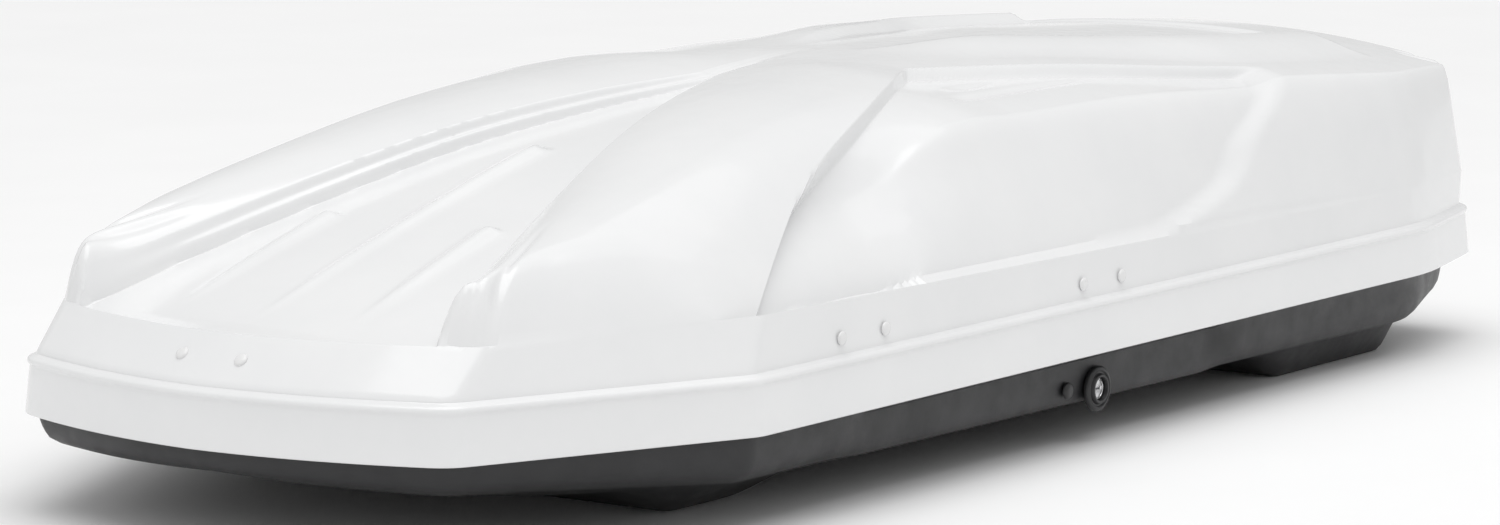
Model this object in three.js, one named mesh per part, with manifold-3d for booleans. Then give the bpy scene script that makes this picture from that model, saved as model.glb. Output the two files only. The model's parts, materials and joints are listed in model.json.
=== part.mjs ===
// Roof cargo box: a domed lid over a shallow base, hinged along its right side and locked on its left.
// Millimetres. +X points to the nose, +Y to the lock side, +Z up. The origin is on the ground under the middle.
import * as THREE from "three";
import { mergeVertices } from "three/addons/utils/BufferGeometryUtils.js";
import Module from "manifold-3d";

const wasm = await Module();
wasm.setup();

// ---- driving dimensions ----
const SKIN = 4; // wall thickness of both shells
const RIM_Z = 98; // lower edge of the lid's skirt
const BAND_TOP_Z = 146; // the skirt's plain band ends here, under the bead
const GROOVE_Z = 157; // groove above the bead
const GROOVE_INSET = 12; // how far the groove lies inside the skirt's lower edge
const BASE_INSET = 12; // the base's rim lies this far inside the skirt
const BASE_RIM_Z = 143.5;
const FLOOR_Z = 36; // underside of the base between its two pods
const PANEL_END_X = 124; // the nose panel comes to a point here
const PANEL_NOSE_X = 859; // where its edges start at the nose, this far either side
const PANEL_HALF = 219;
const HINGE_Y = -394.5;
const HINGE_Z = 90;
const HINGES_X = [470, -60, -590];
const STRIKERS_X = [408, -36];
const LOCK_X = -36;
const LOCK_Z = 57;
const LATCH_Y = 362; // inner face of the latch bar
const LATCH_THICK = 3;
const CAM_THROW = 12.7; // radius of the cam's drive pin
const STRUTS_X = [360, -650];
const STRUT_LOW = [-262, 66]; // y, z of the strut's pivot on the base
const STRUT_HIGH = [-12, 306]; // y, z of its pivot on the lid
const BARS_X = [220, -280]; // crossbar centres
const BARS_Y = 190; // U-bolt centres, either side
const U_HALF = 44; // half the distance between a U-bolt's legs
const U_ROD = 4; // its rod's radius

// Corners of one half of the plan, nose to tail. Each has the skirt's lower edge, the shoulder where the dome
// starts, the base's lower edge, how far its wall lies inside the skirt, the point of the roof's centre line that
// its surface lines run up to, and the length over which the corner is rounded.
const CORNERS = [
  { rim: [957.5, 0], shoulder: [902.5, 0, 202], edge: [885, 0, 68], wall: 12, spine: 330, soft: 0 },
  { rim: [899, 265], shoulder: [846, 260, 204], edge: [838, 205, 60], wall: 14, spine: PANEL_END_X, soft: 20 },
  { rim: [596.5, 400], shoulder: [567, 382, 211], edge: [588, 352, 47], wall: 12, spine: -430, soft: 10 },
  { rim: [-739.5, 400], shoulder: [-742, 382, 197], edge: [-720, 374, 42], wall: 14, spine: -640, soft: 45 },
  { rim: [-946, 350], shoulder: [-935, 345, 195], edge: [-850, 318, 46], wall: 34, spine: -740, soft: 40 },
  { rim: [-957.5, 0], shoulder: [-948, 0, 195], edge: [-885, 0, 52], wall: 30, spine: -800, soft: 0 },
];
const SPANS = [6, 4, 11, 3, 4]; // mesh steps along each side of that plan
const BOWS = [52, 0, 0, 0, -11]; // how far the nose and tail edges bow out

// ---- small helpers ----
const clamp01 = (t) => Math.min(1, Math.max(0, t));
const ease = (t) => clamp01(t) ** 2 * (3 - 2 * clamp01(t));
const mix = (a, b, t) => a + (b - a) * t;

// Smooth curve through stations [x, value], given from high x to low x.
function through(stations, x) {
  const last = stations.length - 1;
  if (x >= stations[0][0]) return stations[0][1];
  if (x <= stations[last][0]) return stations[last][1];
  const slope = (i) => {
    const a = stations[Math.max(i - 1, 0)];
    const b = stations[Math.min(i + 1, last)];
    return (b[1] - a[1]) / (b[0] - a[0]);
  };
  let i = 0;
  while (x < stations[i + 1][0]) i += 1;
  const [x0, v0] = stations[i];
  const [x1, v1] = stations[i + 1];
  const h = x1 - x0;
  const t = (x - x0) / h;
  const rise = (2 * t ** 3 - 3 * t ** 2 + 1) * v0 + (3 * t ** 2 - 2 * t ** 3) * v1;
  return rise + (t ** 3 - 2 * t ** 2 + t) * h * slope(i) + (t ** 3 - t ** 2) * h * slope(i + 1);
}

// ---- plan of the box ----
function sideLength(s) {
  const [a, b] = [CORNERS[s].rim, CORNERS[s + 1].rim];
  return Math.hypot(b[0] - a[0], b[1] - a[1]);
}

// One half as a list of { rim, shoulder, edge, spine }, nose to tail, with softened corners.
function halfPlan() {
  const flat = CORNERS.map((c) => [...c.rim, ...c.shoulder, ...c.edge, c.spine, c.wall]);
  const lerp = (a, b, t) => a.map((v, k) => mix(v, b[k], t));
  const rows = [];
  SPANS.forEach((steps, s) => {
    const from = CORNERS[s].soft / sideLength(s);
    const to = 1 - CORNERS[s + 1].soft / sideLength(s);
    for (let j = 0; j <= steps; j += 1) {
      const q = mix(from, to, j / steps);
      const row = lerp(flat[s], flat[s + 1], q);
      const bow = BOWS[s] * (q - q * q);
      row[0] += bow;
      row[2] += bow;
      row[5] += bow;
      rows.push(row);
    }
    if (s + 1 < SPANS.length) {
      const a = lerp(flat[s], flat[s + 1], to);
      const b = lerp(flat[s + 1], flat[s + 2], CORNERS[s + 1].soft / sideLength(s + 1));
      const mid = lerp(lerp(a, b, 0.5), flat[s + 1], 0.5);
      rows.push(mid);
    }
  });
  return rows.map((r) => ({
    rim: r.slice(0, 2),
    shoulder: r.slice(2, 5),
    edge: r.slice(5, 8),
    spine: r[8],
    wall: r[9],
  }));
}

// The whole ring: the half, then its mirror image back to the nose.
function wholePlan() {
  const half = halfPlan();
  const flip = (p) => [p[0], -p[1], ...p.slice(2)];
  const mirrored = (c) => ({ ...c, rim: flip(c.rim), shoulder: flip(c.shoulder), edge: flip(c.edge) });
  const other = half.slice(1, -1).reverse().map(mirrored);
  const ring = [...half, ...other];
  ring.forEach((c, i) => {
    const a = ring[(i + ring.length - 1) % ring.length].rim;
    const b = ring[(i + 1) % ring.length].rim;
    const length = Math.hypot(b[0] - a[0], b[1] - a[1]);
    c.inward = [-(b[1] - a[1]) / length, (b[0] - a[0]) / length];
  });
  return ring;
}
const PLAN = wholePlan();

// Distance of a plan point inside the shoulder line.
function insideShoulder(x, y) {
  let best = Infinity;
  PLAN.forEach((c, i) => {
    const [ax, ay] = c.shoulder;
    const [bx, by] = PLAN[(i + 1) % PLAN.length].shoulder;
    const dx = bx - ax;
    const dy = by - ay;
    const t = clamp01(((x - ax) * dx + (y - ay) * dy) / (dx * dx + dy * dy));
    best = Math.min(best, Math.hypot(x - ax - t * dx, y - ay - t * dy));
  });
  return best;
}

// ---- the lid's dome ----
const SHOULDER_Z = [[905, 202], [845, 203], [567, 211], [0, 211], [-300, 209], [-742, 197], [-945, 195]];
const ROOF_Z = [[905, 268], [845, 279], [797, 288], [740, 301], [570, 336], [336, 375], [98, 393], [0, 390],
  [-210, 388], [-403, 380], [-545, 376], [-792, 363], [-945, 352]];
const CREST_Y = [[845, 244], [797, 250], [740, 250], [570, 240], [336, 220], [98, 190], [0, 165]];
const PANEL_Z = [[905, 200], [869, 206], [740, 244], [581, 287], [426, 324], [279, 348], [124, 368], [60, 379], [0, 386],
  [-60, 389], [-210, 388]];
const STEP_Z = [[845, 9], [740, 15], [581, 20], [426, 20], [279, 17], [124, 9], [40, 2], [-60, 0]]; // height of the step round the panel
const WALL_SLOPE = [[905, 6], [845, 4.5], [797, 3.6], [740, 3], [570, 2.8], [300, 2.8], [-400, 3.6], [-900, 6.5]];
const FENDER_FALL = 0.0055; // how fast the fenders curve down past their crest
const ROOF_EDGE = [[845, 30], [797, 60], [700, 90], [500, 95], [300, 80], [-400, 60], [-900, 40]]; // softness of the edge

function smoothMin(a, b, reach) {
  if (reach <= 0) return Math.min(a, b);
  const h = Math.max(reach - Math.abs(a - b), 0) / reach;
  return Math.min(a, b) - (h * h * reach) / 4;
}

// Height of the roof over plan point x, y: crowned, with a sunken triangular panel at the nose.
function crown(x, y) {
  const side = Math.abs(y);
  const droop = 28 * (side / 300) ** 2.2;
  if (x < -60) return through(ROOF_Z, x) - droop + spineRidge(x, side);
  const edgeY = Math.max((PANEL_HALF * (x - PANEL_END_X)) / (PANEL_NOSE_X - PANEL_END_X), 0);
  const floor = (v) => through(PANEL_Z, x) - 9 * (v / PANEL_HALF) ** 2;
  if (side <= edgeY) return floor(side);
  const lip = floor(edgeY) + through(STEP_Z, x) * Math.min(1, (side - edgeY) / 8);
  const reach = Math.max(through(CREST_Y, x) - edgeY, 16);
  const t = clamp01((side - edgeY) / reach);
  const fall = FENDER_FALL * ease((x - 120) / 230) * Math.max(side - through(CREST_Y, x), 0) ** 2;
  const rise = 1 - (1 - t) ** 2;
  const climb = Math.max(through(ROOF_Z, x) - lip, 0) * rise;
  return lip + climb - droop * mix(rise, 1, ease(-x / 60)) - fall;
}

// Two low ridges that part behind the panel's point and run back along the roof.
function spineRidge(x, side) {
  const line = through([[0, 40], [-210, 97], [-403, 158], [-545, 200], [-800, 211]], x);
  const along = ease((-60 - x) / 200) * ease((x + 800) / 18);
  const across = side < line ? ease((side - line + 34) / 26) : ease(1 - (side - line) / 90);
  return along * (11 * across - 4 * (1 - across) * (side < line ? 1 : 0));
}

function domeHeight(x, y) {
  const top = crown(x, y);
  const foot = through(SHOULDER_Z, x);
  const wall = foot + through(WALL_SLOPE, x) * insideShoulder(x, y);
  return smoothMin(top, wall, Math.min(through(ROOF_EDGE, x), Math.max(1.1 * (top - foot), 0)));
}

// How deep the side recess is at a point of the dome. Its place across the flank is measured along the surface.
function recessDepth(x, y, z) {
  const across = 382 - Math.abs(y) + (z - 211);
  const frontX = through([[391, 2], [326, 125], [261, 245], [206, 340], [145, 423], [74, 499], [0, 566]], across);
  const rearX = through([[224, -518], [175, -505], [144, -480], [95, -412], [56, -376], [32, -333], [0, -225]], across);
  const topAcross = mix(391, 224, (2 - x) / 508);
  const front = clamp01((frontX - x) / 9);
  const top = clamp01((topAcross - across) / 11);
  const rear = ease((x - rearX) / 60);
  const bottom = clamp01((across + 4) / 4);
  const hollow = 12 + 14 * ease((x + 350) / 700) * Math.exp(-(((across - 170) / 90) ** 2));
  return hollow * front * top * rear * bottom;
}

// A point of the dome: fraction t of the way from the shoulder to the centre line, sunk by extra.
function domePoint(station, t, extra) {
  const x = mix(station.shoulder[0], station.spine, t);
  const y = mix(station.shoulder[1], 0, t);
  const z = domeHeight(x, y);
  const h = 3;
  const inY = Math.abs(y) < 1e-6 ? 0 : 1;
  const gx = (domeHeight(x + h, y) - domeHeight(x - h, y)) / (2 * h);
  const gy = (inY * (domeHeight(x, y + h) - domeHeight(x, y - h))) / (2 * h);
  const n = new THREE.Vector3(-gx, -gy, 1).normalize();
  const sink = recessDepth(x, y, z);
  const turn = (Math.PI / 2) * ease((382 - Math.abs(y) + z - 211) / 320);
  const sunkY = sink * Math.cos(turn) * Math.sign(y);
  return [x - n.x * extra, y - n.y * extra - sunkY, z - n.z * extra - sink * Math.sin(turn)];
}

// ---- closed shells from rings ----
// outer and inner are lists of rings in step, both starting at the open edge and ending on the centre line.
function shellGeometry(outer, inner, facingUp) {
  const count = outer[0].length;
  const points = [...outer.flat(), ...inner.flat()];
  const innerStart = outer.length * count;
  const faces = [];
  const quad = (a, b, c, d) => faces.push([a, b, c], [a, c, d]);
  for (let i = 0; i < count; i += 1) {
    const j = (i + 1) % count;
    for (let k = 0; k + 1 < outer.length; k += 1) {
      const o = k * count;
      const p = innerStart + o;
      quad(o + i, o + j, o + count + j, o + count + i);
      quad(p + j, p + i, p + count + i, p + count + j);
    }
    quad(innerStart + i, innerStart + j, j, i);
  }
  const order = facingUp ? [0, 1, 2] : [0, 2, 1];
  const positions = faces.flatMap((f) => order.flatMap((k) => points[f[k]]));
  return new THREE.BufferGeometry().setAttribute(
    "position",
    new THREE.Float32BufferAttribute(positions, 3),
  );
}

const inset = (c, d, z) => [c.rim[0] + c.inward[0] * d, c.rim[1] + c.inward[1] * d, z];
const between = (a, b, t, u = t) => [mix(a[0], b[0], t), mix(a[1], b[1], t), mix(a[2], b[2], u)];

function lidGeometry() {
  const dome = [0.015, 0.035, 0.07, 0.11, 0.16, 0.23, 0.32, 0.43, 0.56, 0.7, 0.85, 1];
  const skirt = [[0, RIM_Z], [5, BAND_TOP_Z], [3, 149], [4.5, 153], [GROOVE_INSET, GROOVE_Z]];
  const rings = (skin) => {
    const wall = skirt.map(([d, z]) => PLAN.map((c) => inset(c, d + skin, z)));
    const lower = [0.5, 1].map((t) =>
      PLAN.map((c) => {
        const foot = inset(c, GROOVE_INSET, GROOVE_Z);
        const p = between(foot, c.shoulder, t);
        return [p[0] + c.inward[0] * skin, p[1] + c.inward[1] * skin, p[2] - (t === 1 ? 0.4 * skin : 0)];
      }),
    );
    return [...wall, ...lower, ...dome.map((t) => PLAN.map((c) => domePoint(c, t, skin)))];
  };
  return shellGeometry(rings(0), rings(SKIN), true);
}

// ---- the base ----
const BELLY_Z = [[905, 68], [800, 50], [700, 39], [620, FLOOR_Z], [600, FLOOR_Z], [-680, FLOOR_Z], [-700, FLOOR_Z],
  [-890, 50]];

// Underside of the base: flat between two pods that hang below it.
function bellyHeight(x, y) {
  const side = Math.abs(y);
  const front = ease((640 - x) / 110) * ease((x - 340) / 110) * ease((330 - side) / 90);
  const rear = ease((-430 - x) / 90) * ease((x + 850) / 110) * ease((364 - side) / 40);
  return through(BELLY_Z, x) * (1 - Math.max(front, rear));
}

// The lock bay: the wall between the pods is flat and set back on the lock side.
const lockBay = (x, y) => (y > 0 ? ease((x + 330) / 70) * ease((450 - x) / 70) : 0);

function baseGeometry() {
  const across = [0.05, 0.1, 0.16, 0.25, 0.38, 0.6, 1];
  const rings = (skin) => {
    const rim = [BASE_RIM_Z, RIM_Z].map((z) => PLAN.map((c) => inset(c, BASE_INSET + skin, z)));
    const wall = PLAN.map((c) => inset(c, c.wall + skin + 8 * lockBay(...c.rim), 90));
    const edge = PLAN.map((c) => {
      const set = skin - 10 * lockBay(...c.rim);
      return [c.edge[0] + c.inward[0] * set, c.edge[1] + c.inward[1] * set, c.edge[2] + skin * 0.8];
    });
    const flank = wall.map((w, i) => between(w, edge[i], 0.12, 0.55));
    const belly = across.map((t) =>
      PLAN.map((c) => {
        const x = mix(c.edge[0], c.spine, t);
        const y = mix(c.edge[1], 0, t);
        const start = mix(c.edge[2], bellyHeight(x, y), Math.min(1, t / 0.09));
        return [x, y, start + skin];
      }),
    );
    return [...rim, wall, flank, edge, ...belly];
  };
  return shellGeometry(rings(0), rings(SKIN), false);
}

// The rubber seal sits on the base's rim.
function sealGeometry() {
  const ring = (d, z) => PLAN.map((c) => inset(c, d, z));
  const section = [ring(10.5, 144), ring(10.5, 149.5), ring(17.5, 149.5), ring(17.5, 144)];
  const positions = [];
  PLAN.forEach((c, i) => {
    const j = (i + 1) % PLAN.length;
    section.forEach((low, k) => {
      const high = section[(k + 1) % section.length];
      positions.push(...low[i], ...low[j], ...high[j], ...low[i], ...high[j], ...high[i]);
    });
  });
  return new THREE.BufferGeometry().setAttribute("position", new THREE.Float32BufferAttribute(positions, 3));
}

// ---- solids ----
function toSolid(geometry) {
  const bare = new THREE.BufferGeometry();
  const flat = geometry.index ? geometry.toNonIndexed() : geometry;
  bare.setAttribute("position", flat.getAttribute("position"));
  const merged = mergeVertices(bare, 1e-3);
  const mesh = new wasm.Mesh({
    numProp: 3,
    vertProperties: new Float32Array(merged.attributes.position.array),
    triVerts: new Uint32Array(merged.index.array),
  });
  return new wasm.Manifold(mesh);
}

function toGeometry(solid) {
  const mesh = solid.getMesh();
  const geometry = new THREE.BufferGeometry();
  geometry.setAttribute("position", new THREE.Float32BufferAttribute(mesh.vertProperties, 3));
  geometry.setIndex(new THREE.BufferAttribute(mesh.triVerts, 1));
  return geometry.toNonIndexed();
}

const join = (...parts) => toGeometry(parts.map(toSolid).reduce((a, b) => a.add(b)));
const cut = (body, ...tools) => toGeometry(tools.map(toSolid).reduce((a, b) => a.subtract(b), toSolid(body)));

function block(x0, x1, y0, y1, z0, z1) {
  const g = new THREE.BoxGeometry(x1 - x0, y1 - y0, z1 - z0);
  return g.translate((x0 + x1) / 2, (y0 + y1) / 2, (z0 + z1) / 2);
}

// A round bar along one axis, from a to b, centred on the other two coordinates.
function bar(axis, a, b, centre, radius, sides = 14) {
  const g = new THREE.CylinderGeometry(radius, radius, b - a, sides);
  const mid = (a + b) / 2;
  if (axis === "x") return g.rotateZ(Math.PI / 2).translate(mid, centre[0], centre[1]);
  if (axis === "y") return g.translate(centre[0], mid, centre[1]);
  return g.rotateX(Math.PI / 2).translate(centre[0], centre[1], mid);
}

// A turned part on an axis along Y. The profile is [radius, y] from the inner end to the outer end.
function turned(profile, x, z, sides = 20) {
  const points = profile.map(([r, y]) => new THREE.Vector2(r, y));
  return new THREE.LatheGeometry(points, sides).translate(x, 0, z);
}

const WHITE = new THREE.MeshStandardMaterial({ color: 0xf2f2f2, roughness: 0.15 });
const BLACK = new THREE.MeshStandardMaterial({ color: 0x222222, roughness: 0.7 });
const STEEL = new THREE.MeshStandardMaterial({ color: 0xb8bcc0, metalness: 1, roughness: 0.35 });
const box = new THREE.Group();
box.name = "roof_cargo_box";
function add(name, geometry, material) {
  const mesh = new THREE.Mesh(geometry, material);
  mesh.name = name;
  box.add(mesh);
}

// ---- shells ----
// Rivets through the lid's lower wall: two at the nose, and a pair for each striker.
const RIVET_Z = 172;
const sideRivets = STRIKERS_X.flatMap((x) => [x + 38, x - 38]);
const noseRivets = [36, -36].map((y) => [921.7, y, 180]);
const NOSE_LEAN = 0.761; // how far their axes point up, square to the leaning wall
const rivetHoles = [
  ...sideRivets.map((x) => bar("y", 370, 396, [x, RIVET_Z], 2.6)),
  ...noseRivets.map(([x, y, z]) =>
    new THREE.CylinderGeometry(2.6, 2.6, 24, 14).rotateZ(-Math.PI / 2).rotateY(-NOSE_LEAN).translate(x, y, z),
  ),
];
add("lid_shell", cut(lidGeometry(), ...rivetHoles), WHITE);

const legHoles = BARS_X.flatMap((x) =>
  [-U_HALF, U_HALF].flatMap((dx) => [-BARS_Y, BARS_Y].map((y) => bar("z", 20, 60, [x + dx, y], 5.2))),
);
const lockHole = bar("y", 360, 392, [LOCK_X, LOCK_Z], 15.5, 20);
const capHole = bar("y", 360, 392, [LOCK_X + 56, LOCK_Z + 5], 4, 12);
add("base_shell", cut(baseGeometry(), ...legHoles, lockHole, capHole), BLACK);
add("rim_seal", sealGeometry(), BLACK);

// ---- hinges on the right side ----
function hinge(name, x) {
  const knuckle = (a, b) => bar("x", x + a, x + b, [HINGE_Y, HINGE_Z], 4.6, 12);
  const bore = bar("x", x - 40, x + 40, [HINGE_Y, HINGE_Z], 2.45, 12);
  const basePlate = block(x - 34, x + 34, -391.4, -389, 68, 88);
  const baseClear = block(x - 15.4, x + 15.4, -402, -388.5, 83.5, 97);
  add(`${name}_base_leaf`, cut(join(cut(basePlate, baseClear), knuckle(-34, -16), knuckle(16, 34)), bore), STEEL);
  const lidPlate = block(-15, 15, -1.1, 1.1, -2, 40).rotateX(-0.1).translate(x, -393.2, 96);
  add(`${name}_lid_leaf`, cut(join(knuckle(-15, 15), lidPlate), bore), STEEL);
  add(`${name}_pin`, bar("x", x - 35, x + 35, [HINGE_Y, HINGE_Z], 2.3, 12), STEEL);
}
["hinge_front", "hinge_middle", "hinge_rear"].forEach((name, i) => hinge(name, HINGES_X[i]));

// ---- strikers on the lid, with their rivets ----
function striker(name, x) {
  const plate = block(x - 46, x + 46, 374, 376.5, 160, 184);
  const arm = (y) => block(x - 6, x + 6, y, y + 2, 122, 162);
  const top = block(x - 6, x + 6, 354, 376, 160, 162.5);
  const pin = bar("y", 355, 374, [x, 126], 2.5, 10);
  const holes = [38, -38].map((dx) => bar("y", 370, 380, [x + dx, RIVET_Z], 2.6, 10));
  add(name, cut(join(plate, arm(354), arm(372.3), top, pin), ...holes), STEEL);
}
striker("striker_front", STRIKERS_X[0]);
striker("striker_rear", STRIKERS_X[1]);
sideRivets.forEach((x, i) => {
  const profile = [[0, 372], [4, 372], [4, 373.6], [2.2, 373.6], [2.2, 387.8], [6, 387.8], [5.2, 389.6], [3, 390.6], [0, 391]];
  add(`side_rivet_${i + 1}`, turned(profile, x, RIVET_Z, 14), WHITE);
});
noseRivets.forEach(([x, y, z], i) => {
  const profile = [[0, -6], [4, -6], [4, -4.4], [2.2, -4.4], [2.2, 0.8], [6, 0.8], [5.2, 2.6], [3, 3.6], [0, 4]];
  const g = turned(profile, 0, 0, 14).rotateZ(-Math.PI / 2).rotateY(-NOSE_LEAN);
  add(`nose_rivet_${i + 1}`, g.translate(x, y, z), WHITE);
});


// ---- lock and latch on the left side ----
const LATCH_OUT = LATCH_Y + LATCH_THICK;
const housing = [[12, 370.4], [15, 370.4], [15, 380.4], [24, 380.4], [24, 384.4], [22, 386.4], [19, 387], [19, 385],
  [16, 385], [15, 388.5], [12, 388.5], [12, 370.4]];
add("lock_housing", turned(housing, LOCK_X, LOCK_Z, 32), BLACK);
function lockBarrel() {
  const profile = [[0, 366.4], [14.9, 366.4], [14.9, 369.6], [11.6, 369.6], [11.6, 383.2], [10.8, 384], [0, 384]];
  const body = turned(profile, 0, 0, 24);
  const drive = bar("y", LATCH_Y - 1, 366.6, [-CAM_THROW * Math.SQRT1_2, CAM_THROW * Math.SQRT1_2], 2, 10);
  const slot = block(-5, 5, 380, 385, -0.8, 0.8);
  return cut(join(body, drive), slot).translate(LOCK_X, 0, LOCK_Z);
}
add("lock_barrel", lockBarrel(), STEEL);
const cap = [[0, 368], [5.5, 368], [5.5, 370], [3.6, 370], [3.6, 380.2], [9, 380.2], [8.4, 382.4], [5, 384.2], [0, 384.8]];
add("mechanism_cap", turned(cap, LOCK_X + 56, LOCK_Z + 5, 16), BLACK);

// The latch bar slides along X. A slotted tab takes the cam's drive pin, and each hook reaches over a striker's pin.
function latchBar() {
  const pinX = LOCK_X - CAM_THROW * Math.SQRT1_2;
  const rail = block(-120, 452, LATCH_Y, LATCH_OUT, 104, 114);
  const tab = block(pinX - 12, pinX + 12, LATCH_Y, LATCH_OUT, 58, 105);
  const slot = block(pinX - 2.7, pinX + 2.7, LATCH_Y - 5, LATCH_OUT + 5, 62, 74);
  const hooks = STRIKERS_X.flatMap((x) => [
    block(x - 34, x - 24, LATCH_Y, LATCH_OUT, 113, 138),
    block(x - 26, x - 10, LATCH_Y, LATCH_OUT, 131, 138),
  ]);
  return cut(join(rail, tab, ...hooks), slot);
}
add("latch_bar", latchBar(), STEEL);
[-95, 180, 345].forEach((x, i) => {
  const body = block(x - 9, x + 9, LATCH_Y - 5, LATCH_OUT + 5, 98, 120);
  const window = block(x - 12, x + 12, LATCH_Y - 0.6, LATCH_OUT + 0.6, 103.4, 114.6);
  const foot = block(x - 9, x + 9, LATCH_OUT + 4, 382.5, 100, 118);
  add(`latch_guide_${i + 1}`, cut(join(body, foot), window), BLACK);
});

// ---- gas struts: the cylinder pivots on the base, the rod slides in it towards the lid ----
const strutRun = [STRUT_HIGH[0] - STRUT_LOW[0], STRUT_HIGH[1] - STRUT_LOW[1]];
const STRUT_LENGTH = Math.hypot(...strutRun);
const STRUT_TILT = Math.atan2(strutRun[1], strutRun[0]);
function strut(name, x) {
  const place = (g) => g.rotateX(STRUT_TILT).translate(x, ...STRUT_LOW);
  const tube = bar("y", 18, 238, [0, 0], 9.5, 14);
  const rodBore = bar("y", 30, 245, [0, 0], 4.6, 12);
  const eye = cut(bar("x", -5, 5, [0, 0], 9, 14), bar("x", -9, 9, [0, 0], 4.4, 12));
  const neck = bar("y", 7.5, 20, [0, 0], 4, 10);
  add(`${name}_cylinder`, place(cut(join(tube, eye, neck), rodBore)), BLACK);
  const rod = bar("y", 120, STRUT_LENGTH - 8, [0, 0], 4.2, 12);
  const farEye = bar("x", -5, 5, [STRUT_LENGTH, 0], 9, 14);
  add(`${name}_rod`, place(join(rod, farEye)), STEEL);
  const stand = block(x + 5.6, x + 9.6, STRUT_LOW[0] - 9, STRUT_LOW[0] + 9, FLOOR_Z + SKIN + 0.5, STRUT_LOW[1] + 9);
  const sole = block(x - 16, x + 9.6, STRUT_LOW[0] - 14, STRUT_LOW[0] + 14, FLOOR_Z + SKIN + 0.5, FLOOR_Z + SKIN + 3.5);
  const stud = bar("x", x - 6, x + 7, STRUT_LOW, 4, 12);
  add(`${name}_base_bracket`, join(stand, sole, stud), STEEL);
}
strut("strut_front", STRUTS_X[0]);
strut("strut_rear", STRUTS_X[1]);

// ---- under the roof ----
const underRoof = (x, y) => domeHeight(x, y) - recessDepth(x, y, domeHeight(x, y)) - 1.3 * SKIN;

// The strut's lid bracket stands beside the rod's eye, a millimetre clear of it.
function lidBracket(name, x) {
  const [y, z] = STRUT_HIGH;
  const top = Math.min(underRoof(x - 16, y - 16), underRoof(x + 16, y + 14), underRoof(x, y)) - 1;
  const ear = block(x + 6, x + 10, y - 10, y + 10, z - 8, top);
  const plate = block(x - 14, x + 10, y - 14, y + 12, top - 3, top);
  add(`${name}_lid_bracket`, join(ear, plate), STEEL);
}
lidBracket("strut_front", STRUTS_X[0]);
lidBracket("strut_rear", STRUTS_X[1]);

// A bar across the lid that follows the roof: sections from one end to the other, each a rectangle.
function stiffener(x, half, width, depth) {
  const steps = 10;
  const positions = [];
  const section = (k) => {
    const y = mix(-half, half, k / steps);
    const top = Math.min(...[-1, 0, 1].map((e) => underRoof(x + (e * width) / 2, y))) - 4;
    const [a, b] = [x - width / 2, x + width / 2];
    return [[a, y, top - depth], [b, y, top - depth], [b, y, top], [a, y, top]];
  };
  const face = (a, b, c, d) => positions.push(...a, ...b, ...c, ...a, ...c, ...d);
  for (let k = 0; k < steps; k += 1) {
    const [p, q] = [section(k), section(k + 1)];
    p.forEach((corner, i) => {
      const j = (i + 1) % 4;
      face(corner, q[i], q[j], p[j]);
    });
  }
  const [first, last] = [section(0), section(steps)];
  face(first[0], first[1], first[2], first[3]);
  face(last[3], last[2], last[1], last[0]);
  return new THREE.BufferGeometry().setAttribute("position", new THREE.Float32BufferAttribute(positions, 3));
}
add("lid_stiffener_front", stiffener(110, 170, 36, 12), STEEL);
add("lid_stiffener_rear", stiffener(-400, 150, 36, 12), STEEL);

// ---- clamps that hold the box on its crossbars ----
const RAIL_Z = FLOOR_Z + SKIN + 0.5;
const PLATE_Z = RAIL_Z + 4.4;
const KNOB_Z = PLATE_Z + 3.4;
const barLegs = (y) => BARS_X.flatMap((x) => [x - U_HALF, x + U_HALF].map((lx) => bar("z", 20, 80, [lx, y], 4.8, 12)));
[["left", BARS_Y], ["right", -BARS_Y]].forEach(([name, y]) => {
  const rail = block(BARS_X[1] - 66, BARS_X[0] + 66, y - 20, y + 20, RAIL_Z, RAIL_Z + 4);
  add(`floor_rail_${name}`, cut(rail, ...barLegs(y)), STEEL);
});

// A round rod bent to a U in the XZ plane, swept along its centre line.
function bentRod(path, y, radius, sides) {
  const rings = path.map(([x, z], k) => {
    const [ax, az] = path[Math.max(k - 1, 0)];
    const [bx, bz] = path[Math.min(k + 1, path.length - 1)];
    const length = Math.hypot(bx - ax, bz - az);
    const normal = [-(bz - az) / length, (bx - ax) / length];
    return Array.from({ length: sides }, (_, i) => {
      const a = (2 * Math.PI * i) / sides;
      return [x + normal[0] * radius * Math.cos(a), y + radius * Math.sin(a), z + normal[1] * radius * Math.cos(a)];
    });
  });
  const positions = [];
  for (let k = 0; k + 1 < rings.length; k += 1) {
    rings[k].forEach((p, i) => {
      const j = (i + 1) % sides;
      positions.push(...p, ...rings[k + 1][j], ...rings[k][j], ...p, ...rings[k + 1][i], ...rings[k + 1][j]);
    });
  }
  const [first, last] = [rings[0], rings[rings.length - 1]];
  for (let i = 1; i + 1 < sides; i += 1) {
    positions.push(...first[0], ...first[i], ...first[i + 1]);
    positions.push(...last[0], ...last[i + 1], ...last[i]);
  }
  return new THREE.BufferGeometry().setAttribute("position", new THREE.Float32BufferAttribute(positions, 3));
}

const U_LOW = 1.5 + U_ROD;
const BEND = 10;
const bend = (side, t) => {
  const a = (t * Math.PI) / 2;
  return [side * (U_HALF - BEND + BEND * Math.cos(a)), U_LOW + BEND - BEND * Math.sin(a)];
};
const uPath = [
  [-U_HALF, KNOB_Z + 15],
  ...[0, 0.35, 0.7, 1].map((t) => bend(-1, t)),
  ...[1, 0.7, 0.35, 0].map((t) => bend(1, t)),
  [U_HALF, KNOB_Z + 15],
];

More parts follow.
